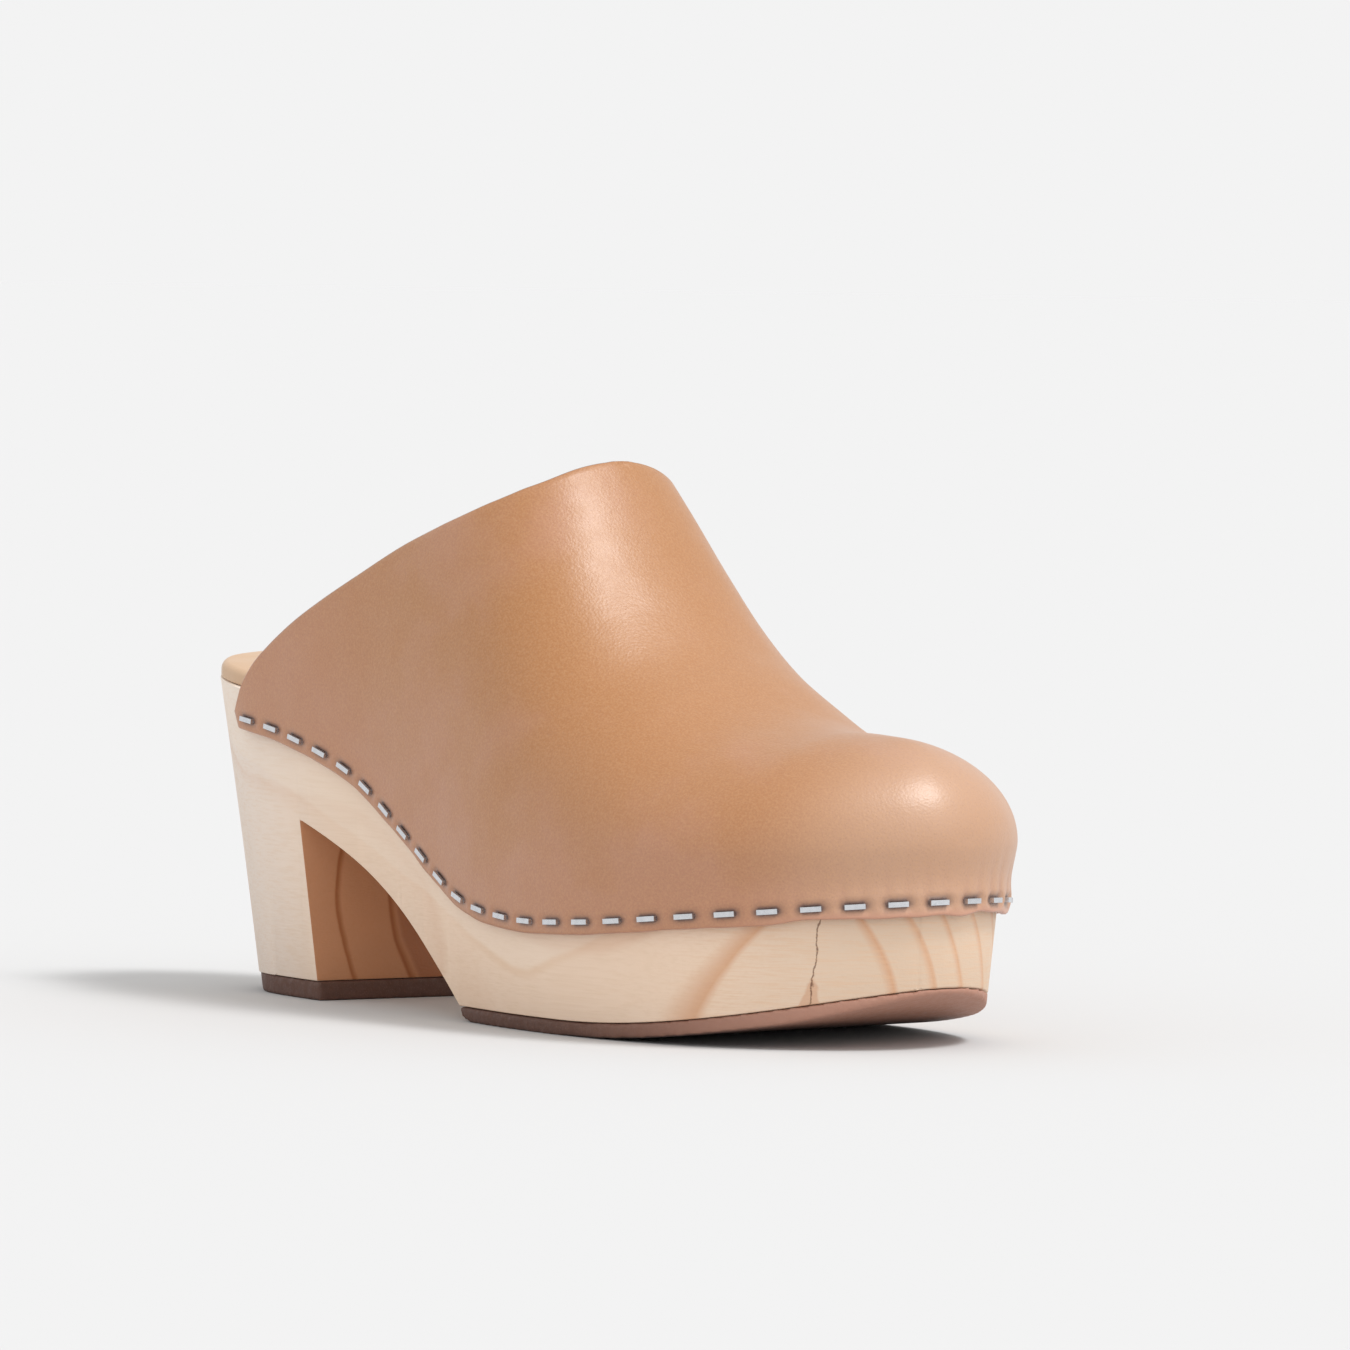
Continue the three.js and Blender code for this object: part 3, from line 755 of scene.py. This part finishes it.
class Shader:
    """A node material built from short calls. Inputs are numbers, colours or other sockets."""

    def __init__(self, name):
        self.material = bpy.data.materials.new(name)
        self.material.use_nodes = True
        self.tree = self.material.node_tree
        self.tree.nodes.clear()
        place = self.add("TexCoord").outputs["Object"]
        scaled = self.add("VectorMath", {0: place, "Scale": 1 / MM}, operation="SCALE").outputs[0]
        self.mm = self.vector("SUBTRACT", scaled, tuple(SHIFT))

    def add(self, node_type, inputs=None, **settings):
        made = self.tree.nodes.new("ShaderNode" + node_type)
        for key, value in settings.items():
            setattr(made, key, value)
        for key, value in (inputs or {}).items():
            if isinstance(value, bpy.types.NodeSocket):
                self.tree.links.new(value, made.inputs[key])
            else:
                made.inputs[key].default_value = value
        return made

    def vector(self, operation, a, b):
        return self.add("VectorMath", {0: a, 1: b}, operation=operation).outputs[0]

    def math(self, operation, a, b=0.0, clamp=False):
        return self.add("Math", {0: a, 1: b}, operation=operation, use_clamp=clamp).outputs[0]

    def plus(self, a, b, clamp=False):
        return self.math("ADD", a, b, clamp)

    def minus(self, a, b):
        return self.math("SUBTRACT", a, b)

    def times(self, a, b):
        return self.math("MULTIPLY", a, b)

    def axes_of(self, vector):
        return self.add("SeparateXYZ", {0: vector}).outputs

    def facing(self):
        """The outward direction's X, Y and Z."""
        return self.axes_of(self.add("NewGeometry").outputs["Normal"])

    def field(self, name):
        """A number that set_field gave the mesh."""
        return self.add("Attribute", attribute_name=name).outputs["Fac"]

    def noise(self, scale, detail=3.0, roughness=0.5, stretch=(1, 1, 1)):
        """Clouds with about scale features to the millimetre."""
        place = self.vector("MULTIPLY", self.mm, stretch)
        inputs = {"Vector": place, "Scale": scale, "Detail": detail, "Roughness": roughness}
        return self.add("TexNoise", inputs).outputs["Fac"]

    def cells(self, scale, feature="F1"):
        inputs = {"Vector": self.mm, "Scale": scale}
        return self.add("TexVoronoi", inputs, feature=feature).outputs["Distance"]

    def spread(self, value, low, high, to_low=0.0, to_high=1.0, kind="SMOOTHSTEP"):
        """Turns low to high into to_low to to_high, and holds the ends."""
        inputs = {0: value, 1: low, 2: high, 3: to_low, 4: to_high}
        return self.add("MapRange", inputs, interpolation_type=kind).outputs[0]

    def mix(self, share, a, b):
        return self.add("Mix", {0: share, 6: a, 7: b}, data_type="RGBA").outputs[2]

    def ramp(self, value, stops):
        made = self.add("ValToRGB", {"Fac": value})
        elements = made.color_ramp.elements
        while len(elements) < len(stops):
            elements.new(1.0)
        for element, (position, level) in zip(elements, stops):
            element.position = position
            element.color = (level, level, level, 1)
        return made.outputs[0]

    def bump(self, height, distance, strength=1.0, normal=None):
        inputs = {"Height": height, "Distance": distance * MM, "Strength": strength}
        if normal is not None:
            inputs["Normal"] = normal
        return self.add("Bump", inputs).outputs["Normal"]

    def surface(self, tone, roughness, normal, **others):
        inputs = {"Base Color": tone, "Roughness": roughness, "Normal": normal, **others}
        shader = self.add("BsdfPrincipled", inputs)
        self.add("OutputMaterial", {"Surface": shader.outputs[0]})
        return self.material


def colour(*parts):
    """A paint colour from its usual 0 to 255 values."""
    return tuple(((c / 255 + 0.055) / 1.055) ** 2.4 for c in parts) + (1.0,)


def leather_material():
    s = Shader("oiled_leather")
    along = s.axes_of(s.mm)[0]

    # Ochre, with rosy clouds and a rosy lower edge and rear, and painted light that makes it paler
    # at the toe.
    clouds = s.times(s.noise(0.016, 3.0, 0.55), 0.65)
    mottle = s.plus(clouds, s.times(s.noise(0.06, 4.0, 0.6), 0.35))
    near_edge = s.plus(s.times(s.field("low"), 1.3), s.spread(along, 30.0, 105.0, 0.8, 0.0))
    rosy = s.plus(s.spread(mottle, 0.46, 0.68, 0.0, 0.8), near_edge, clamp=True)
    tone = s.mix(rosy, colour(170, 108, 44), colour(178, 120, 84))
    tone = s.mix(s.spread(along, 210.0, 238.0, 0.0, 0.7), tone, colour(196, 155, 126))

    # The grain and its pores.
    grain = s.noise(1.9, 3.0, 0.65)
    tone = s.mix(s.spread(grain, 0.35, 0.7, 0.0, 0.3), tone, colour(205, 155, 106))
    tone = s.mix(s.spread(s.cells(1.3), 0.0, 0.35, 0.24, 0.0), tone, colour(140, 92, 62))

    # Painted shade: darker round the staples' crowns, where their holes and dents would shade, in
    # the puckers and in tight corners.
    tone = s.mix(s.times(s.field("staple_shade"), 0.6), tone, colour(92, 64, 56))
    tone = s.mix(s.times(s.field("pucker"), 0.4), tone, colour(160, 105, 88))
    hollow_shade = s.add("AmbientOcclusion", {"Distance": 1.4 * MM}, samples=8).outputs["AO"]
    tone = s.mix(s.spread(hollow_shade, 0.45, 0.85, 0.9, 0.0), tone, colour(80, 54, 48))

    # The cut edges, which are darker round the opening, and the flesh side.
    raw = s.mix(s.noise(0.7, 2.0), colour(166, 112, 92), colour(196, 144, 122))
    raw = s.mix(s.spread(s.field("low"), 0.2, 0.7), colour(112, 74, 56), raw)
    tone = s.mix(s.times(s.field("lip"), 0.7), tone, colour(206, 146, 120))
    tone = s.mix(s.field("raw"), tone, raw)
    tone = s.mix(s.field("inner"), tone, colour(196, 160, 132))

    rough = s.spread(s.noise(0.09, 4.0), 0.3, 0.7, 0.44, 0.54)
    creases = s.bump(s.noise(0.14, 3.0, 0.55), 0.5, 0.22)
    pebbles = s.bump(s.cells(1.7, "SMOOTH_F1"), 0.08, 0.55, creases)
    fine = s.bump(s.noise(3.4, 2.0), 0.045, 0.55, pebbles)
    polish = {"Specular IOR Level": 0.85, "Coat Weight": 0.5, "Coat Roughness": 0.33}
    return s.surface(tone, rough, fine, **polish, **{"Coat Normal": fine})


def lining_material():
    s = Shader("lining_leather")
    tone = s.mix(s.noise(0.05, 4.0), colour(214, 176, 142), colour(224, 190, 160))
    tone = s.mix(s.spread(s.noise(1.3, 2.0), 0.4, 0.7, 0, 0.2), tone, colour(190, 150, 118))
    rough = s.spread(s.noise(0.4), 0.3, 0.7, 0.6, 0.75)
    return s.surface(tone, rough, s.bump(s.noise(1.6, 3.0), 0.08, 0.6))


def insole_material():
    s = Shader("insole_leather")
    tone = s.mix(s.noise(0.03, 4.0), colour(202, 168, 134), colour(208, 176, 146))
    tone = s.mix(s.spread(s.cells(0.9), 0.0, 0.3, 0.16, 0.0), tone, colour(186, 142, 108))
    creases = s.bump(s.noise(0.12, 4.0, 0.6), 0.6, 0.3)
    grain = s.bump(s.cells(0.95, "SMOOTH_F1"), 0.1, 0.5, creases)
    return s.surface(tone, s.spread(s.noise(0.1, 3.0), 0.3, 0.7, 0.45, 0.6), grain)


# Growth lines as (middle, width, strength), across the toe and out from the pith.
FAN_BANDS = [
    (-56, 3.4, 0.3), (-46, 2.8, 0.3), (-36, 3.2, 1.0), (-11.3, 2.3, 1.0), (-1.5, 2.1, 0.95),
    (7, 1.9, 0.9), (17, 1.8, 0.85), (27, 2.0, 0.7), (38, 2.4, 0.7),
]
FAN_LOW, FAN_HIGH = -70, 60
RING_BANDS = [(12, 2.0, 0.8), (20, 2.2, 0.8), (30.2, 1.8, 1.0), (45, 1.5, 1.0), (60, 2.5, 0.5)]
RING_HIGH = 80
PITH = (0, 23, 21)
CRACK_SIDE = 22.7  # the crack is this far to the lateral side
WEDGE_TOP = 18.0
FIGURE_MIDDLE = 147.0


def band_stops(bands, low, high):
    """Ramp stops for soft bands: each rises slowly and ends more sharply."""
    stops = [(0.0, 0.0)]
    for middle, width, strength in bands:
        for offset, level in ((-0.8, 0.0), (0.15, strength), (0.5, 0.0)):
            stops.append(((middle + offset * width - low) / (high - low), level))
    return stops


def toe_growth(s, axes, bend):
    """Growth lines that fan out across the toe."""
    above = s.minus(axes[2], 20.0)
    above = s.plus(above, s.times(s.times(above, above), 0.03))
    lean = s.spread(axes[1], -31.0, -16.5, 0.35, -0.42)
    fan = s.minus(axes[1], s.times(lean, above))
    fan = s.plus(fan, s.times(bend, 2.0))
    fan = s.spread(fan, FAN_LOW, FAN_HIGH, kind="LINEAR")
    return s.ramp(fan, band_stops(FAN_BANDS, FAN_LOW, FAN_HIGH))


def heel_growth(s, bend):
    """Growth lines round the pith, and the darker heartwood within them."""
    off_pith = s.vector("MULTIPLY", s.vector("SUBTRACT", s.mm, PITH), (0.06, 1, 1))
    ring = s.add("VectorMath", {0: off_pith}, operation="LENGTH").outputs["Value"]
    ring = s.plus(ring, s.times(bend, 5.0))
    heartwood = s.spread(ring, 27.5, 29.5, 0.55, 0.0)
    ring = s.spread(ring, 0.0, RING_HIGH, kind="LINEAR")
    return s.ramp(ring, band_stops(RING_BANDS, 0, RING_HIGH)), heartwood


def toe_crack(s, axes):
    """The drying crack at the toe, and the wedge of darker wood at its foot."""
    ragged = s.times(s.noise(0.25, 4.0, 0.55), 2.0)
    off_crack = s.math("ABSOLUTE", s.plus(s.plus(axes[1], ragged), CRACK_SIDE))
    at_toe = s.spread(axes[0], 205.0, 212.0)
    crack = s.times(s.spread(off_crack, 0.04, 0.2, 1.0, 0.0), at_toe)
    wedge = s.times(s.minus(WEDGE_TOP, axes[2]), 0.26)
    wedge = s.spread(s.minus(wedge, off_crack), 0.0, 0.5)
    return crack, s.times(wedge, at_toe)


def side_figure(s, axes, bend):
    """The pointed figure of pale wood on the side, and its outline."""
    off_middle = s.minus(axes[0], FIGURE_MIDDLE)
    figure = s.math("SQRT", s.plus(s.times(off_middle, off_middle), 12.0))
    figure = s.minus(axes[2], s.times(figure, 0.36))
    figure = s.plus(figure, s.times(bend, 6.0))
    inside = s.spread(figure, 12.6, 14.0)
    inside = s.times(inside, s.spread(axes[0], 160.0, 200.0, 1.0, 0.0))
    outline = s.spread(s.math("ABSOLUTE", s.minus(figure, 12.4)), 0.0, 2.0, 1.0, 0.0)
    outline = s.times(outline, s.spread(axes[0], 150.0, 185.0, 0.28, 0.0))
    return inside, s.times(outline, s.spread(axes[0], 112.0, 135.0))


def wood_material():
    s = Shader("pine")
    axes = s.axes_of(s.mm)
    shiver = s.times(s.noise(0.11, 3.0), 0.25)
    bend = s.minus(s.plus(s.noise(0.02, 2.0), shiver), 0.62)
    crack, wedge = toe_crack(s, axes)
    inside, outline = side_figure(s, axes, bend)
    heel_bands, heartwood = heel_growth(s, bend)

    # The lines are faint towards the heel, but strong on the heel's front face.
    bands = s.mix(s.spread(axes[0], 110.0, 165.0), heel_bands, toe_growth(s, axes, bend))
    rear = s.spread(axes[0], 62.0, 80.0, 1.0, 0.0)
    breast = s.times(s.spread(s.facing()[0], 0.3, 0.7), rear)
    bands = s.times(bands, s.math("MAXIMUM", s.spread(axes[0], 70.0, 190.0, 0.35, 1.0), breast))

    tone = s.mix(s.noise(0.03, 3.0), colour(238, 209, 183), colour(243, 219, 197))
    tone = s.mix(s.spread(axes[0], 20.0, 70.0, 0.9, 0.0), tone, colour(237, 224, 213))
    tone = s.mix(s.spread(axes[0], 195.0, 236.0, 0.0, 0.75), tone, colour(214, 189, 165))
    fibres = s.noise(1.0, 4.0, 0.6, (0.03, 1.6, 1.6))
    tone = s.mix(s.spread(fibres, 0.4, 0.75, 0.0, 0.3), tone, colour(226, 196, 166))
    tone = s.mix(s.times(bands, 0.85), tone, colour(213, 160, 122))
    # The heel's front face is darker and more orange: partly its end grain, partly painted shade
    # under the arch.
    tone = s.mix(s.times(breast, 0.8), tone, colour(190, 116, 58))
    tone = s.mix(s.times(breast, heartwood), tone, colour(150, 84, 50))
    tone = s.mix(s.times(s.times(breast, bands), 0.8), tone, colour(150, 86, 50))
    tone = s.mix(s.times(wedge, 0.55), tone, colour(206, 152, 116))
    tone = s.mix(s.times(crack, 0.8), tone, colour(96, 56, 38))
    tone = s.mix(s.times(inside, 0.3), tone, colour(246, 230, 212))
    tone = s.mix(outline, tone, colour(222, 184, 146))
    strokes = s.spread(s.noise(1.0, 2.0, 0.6, (0.12, 0.12, 2.6)), 0.42, 0.7, 0.0, 0.4)
    strokes = s.times(strokes, s.spread(axes[0], 180.0, 215.0))
    tone = s.mix(strokes, tone, colour(226, 186, 150))

    relief = s.bump(s.noise(1.0, 2.0, 0.5, (0.02, 0.5, 2.2)), 0.12, 0.35)
    relief = s.bump(fibres, 0.07, 0.5, relief)
    rough = s.spread(fibres, 0.3, 0.7, 0.52, 0.66)
    return s.surface(tone, rough, relief, **{"Specular IOR Level": 0.3})


def rubber_material():
    s = Shader("crepe_rubber")
    axes = s.axes_of(s.mm)
    tone = s.mix(s.noise(0.5, 4.0, 0.7), colour(82, 54, 44), colour(102, 69, 56))
    tone = s.mix(s.spread(axes[0], 150.0, 232.0, 0.0, 0.9), tone, colour(182, 134, 114))

    # Soiled and darkened with painted shade on the underside near the ground, and dusty all over.
    near_ground = s.spread(axes[2], 2.0, 6.5, 0.8, 0.0)
    soiled_and_shaded = s.times(s.spread(s.facing()[2], -0.9, -0.5, 1.0, 0.0), near_ground)
    soil_and_shade_tone = s.mix(s.noise(1.2, 3.0), colour(52, 40, 37), colour(84, 66, 60))
    tone = s.mix(soiled_and_shaded, tone, soil_and_shade_tone)
    dust = s.spread(s.noise(2.4, 3.0, 0.7), 0.5, 0.75, 0.0, 0.3)
    tone = s.mix(dust, tone, colour(156, 122, 106))
    relief = s.bump(s.noise(1.1, 3.0, 0.7), 0.25, 0.5)
    return s.surface(tone, s.spread(s.noise(0.6), 0.3, 0.7, 0.55, 0.75), relief)


def steel_material():
    s = Shader("staple_steel")
    tone = s.mix(s.noise(0.9, 3.0), colour(196, 198, 202), colour(226, 228, 232))
    rough = s.spread(s.noise(1.2), 0.3, 0.7, 0.22, 0.4)
    return s.surface(tone, rough, s.bump(s.noise(2.4, 2.0), 0.05, 0.5), Metallic=1.0)


def hidden_material(name, light, dark):
    """For the foam and the stiffener, which no view shows."""
    s = Shader(name)
    tone = s.mix(s.noise(0.6, 3.0), light, dark)
    return s.surface(tone, 0.8, s.bump(s.noise(1.5, 2.0), 0.2, 0.5))


# ---- The pieces ----------------------------------------------------------------------------------


def finish_piece(piece, material, slot, *nodes):
    """Gives a piece its finish. Unless it is a CAD node, it rides in place of the nodes named."""
    piece.data.materials.clear()
    piece.data.materials.append(material)
    if nodes:
        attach(piece, "root")
        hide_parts(*nodes)
    return piece


WORN_EDGE = 0.12  # width of the staples' worn edges

finish_piece(make_wood(), wood_material(), "pine_wood", "wood_sole")
rubber = rubber_material()
finish_piece(make_tread(), rubber, "tread_rubber", "forepart_tread")
finish_piece(make_lift(), rubber, "tread_rubber", "heel_lift")
finish_piece(make_vamp(), leather_material(), "vamp_leather", "vamp")
finish_piece(make_lining(), lining_material(), "lining_leather", "vamp_lining")
insole = finish_piece(make_insole(), insole_material(), "insole_leather", "insole_cover")

foam = hidden_material("insole_foam", colour(226, 220, 205), colour(205, 196, 178))
stiffener = hidden_material("toe_stiffener", colour(196, 176, 150), colour(170, 150, 126))
finish_piece(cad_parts["insole_pad"], foam, "insole_foam")
finish_piece(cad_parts["toe_puff"], stiffener, "toe_stiffener")
steel = steel_material()
for number in range(1, STAPLE_COUNT + 1):
    staple = finish_piece(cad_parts[f"staple_{number:02d}"], steel, "staple_steel")
    worn = staple.modifiers.new("worn_edges", "BEVEL")
    worn.width = WORN_EDGE * MM
    worn.segments = 2
    worn.limit_method = "ANGLE"

# ---- Floor, light and camera ---------------------------------------------------------------------

BACKGROUND = colour(243, 243, 243)[0]
KEY_DIRECTION = (0.47, 0.2, 0.85)
KEY, KEY_ANGLE = 1.45, 20
FILL_DIRECTION = (0.85, 0.15, 0.45)
FILL, FILL_ANGLE = 0.35, 50
FLOOR_SHADE = 0.6
FLOOR_LIGHT_ANGLE = 9
FLOOR_SIZE = 40  # from its middle to its edges, in metres

CAMERA_PLACE = (1764.5, -1455.8, 175.5)
CAMERA_AZIMUTH, CAMERA_ELEVATION, CAMERA_ROLL = 48, 2.5, 1.0
CAMERA_LENS, CAMERA_SENSOR = 252.3, 36


def make_floor():
    size = FLOOR_SIZE
    corners = [(-size, -size, 0), (size, -size, 0), (size, size, 0), (-size, size, 0)]
    mesh = bpy.data.meshes.new("floor")
    mesh.from_pydata(corners, [], [(0, 1, 2, 3)])
    floor = bpy.data.objects.new("floor", mesh)
    bpy.context.scene.collection.objects.link(floor)
    material = bpy.data.materials.new("pale_floor")
    material.use_nodes = True
    tree = material.node_tree
    tree.nodes.clear()
    diffuse = tree.nodes.new("ShaderNodeBsdfDiffuse")
    diffuse.inputs["Color"].default_value = (FLOOR_SHADE, FLOOR_SHADE, FLOOR_SHADE, 1)
    output = tree.nodes.new("ShaderNodeOutputMaterial")
    tree.links.new(diffuse.outputs[0], output.inputs["Surface"])
    mesh.materials.append(material)
    return floor


def steepness(direction):
    """The share of a sun's light that level ground receives."""
    return direction[2] / math.sqrt(sum(part * part for part in direction))


def add_sun(name, direction, strength, width):
    """A sun that shines from a direction and is width degrees wide."""
    sun = bpy.data.lights.new(name, "SUN")
    sun.energy = strength
    sun.angle = math.radians(width)
    lamp = bpy.data.objects.new(name, sun)
    back = np.array(direction) / np.linalg.norm(direction)
    side = np.cross((0, 1, 0), back)
    side /= np.linalg.norm(side)
    lamp.matrix_world = Matrix(np.column_stack([side, np.cross(back, side), back])).to_4x4()
    bpy.context.scene.collection.objects.link(lamp)
    return lamp


def add_camera():
    """At the photograph's angle, level with the clog and slightly turned."""
    turns = (CAMERA_AZIMUTH, CAMERA_ELEVATION, CAMERA_ROLL)
    azimuth, elevation, roll = (math.radians(turn) for turn in turns)
    back = np.array([
        math.sin(azimuth) * math.cos(elevation),
        -math.cos(azimuth) * math.cos(elevation),
        math.sin(elevation),
    ])
    level = np.array([math.cos(azimuth), math.sin(azimuth), 0])
    upward = np.cross(back, level)
    right = math.cos(roll) * level + math.sin(roll) * upward
    up = -math.sin(roll) * level + math.cos(roll) * upward
    data = bpy.data.cameras.new("camera")
    data.sensor_width = CAMERA_SENSOR
    data.lens = CAMERA_LENS
    camera = bpy.data.objects.new("camera", data)
    matrix = np.eye(4)
    matrix[:3, 0], matrix[:3, 1], matrix[:3, 2] = right, up, back
    matrix[:3, 3] = (np.array(CAMERA_PLACE) + SHIFT) * MM
    camera.matrix_world = Matrix(matrix)
    bpy.context.scene.collection.objects.link(camera)
    bpy.context.scene.camera = camera


def make_studio():
    """The floor and the light: two suns for all things, and one for the floor only, which brings
    it to the background's shade."""
    floor_only = bpy.data.collections.new("floor_only")
    floor_only.objects.link(make_floor())
    add_sun("key", KEY_DIRECTION, KEY, KEY_ANGLE)
    add_sun("fill", FILL_DIRECTION, FILL, FILL_ANGLE)
    falling = math.pi * (BACKGROUND / FLOOR_SHADE - BACKGROUND) - FILL * steepness(FILL_DIRECTION)
    floor_light = falling / steepness(KEY_DIRECTION) - KEY
    floor_sun = add_sun("floor_light", KEY_DIRECTION, floor_light, FLOOR_LIGHT_ANGLE)
    floor_sun.light_linking.receiver_collection = floor_only
    world = bpy.data.worlds.new("studio")
    world.use_nodes = True
    world.node_tree.nodes["Background"].inputs[0].default_value = (BACKGROUND,) * 3 + (1,)
    world.node_tree.nodes["Background"].inputs[1].default_value = 1.0
    bpy.context.scene.world = world
    bpy.context.scene.view_settings.view_transform = "Standard"


make_studio()
add_camera()
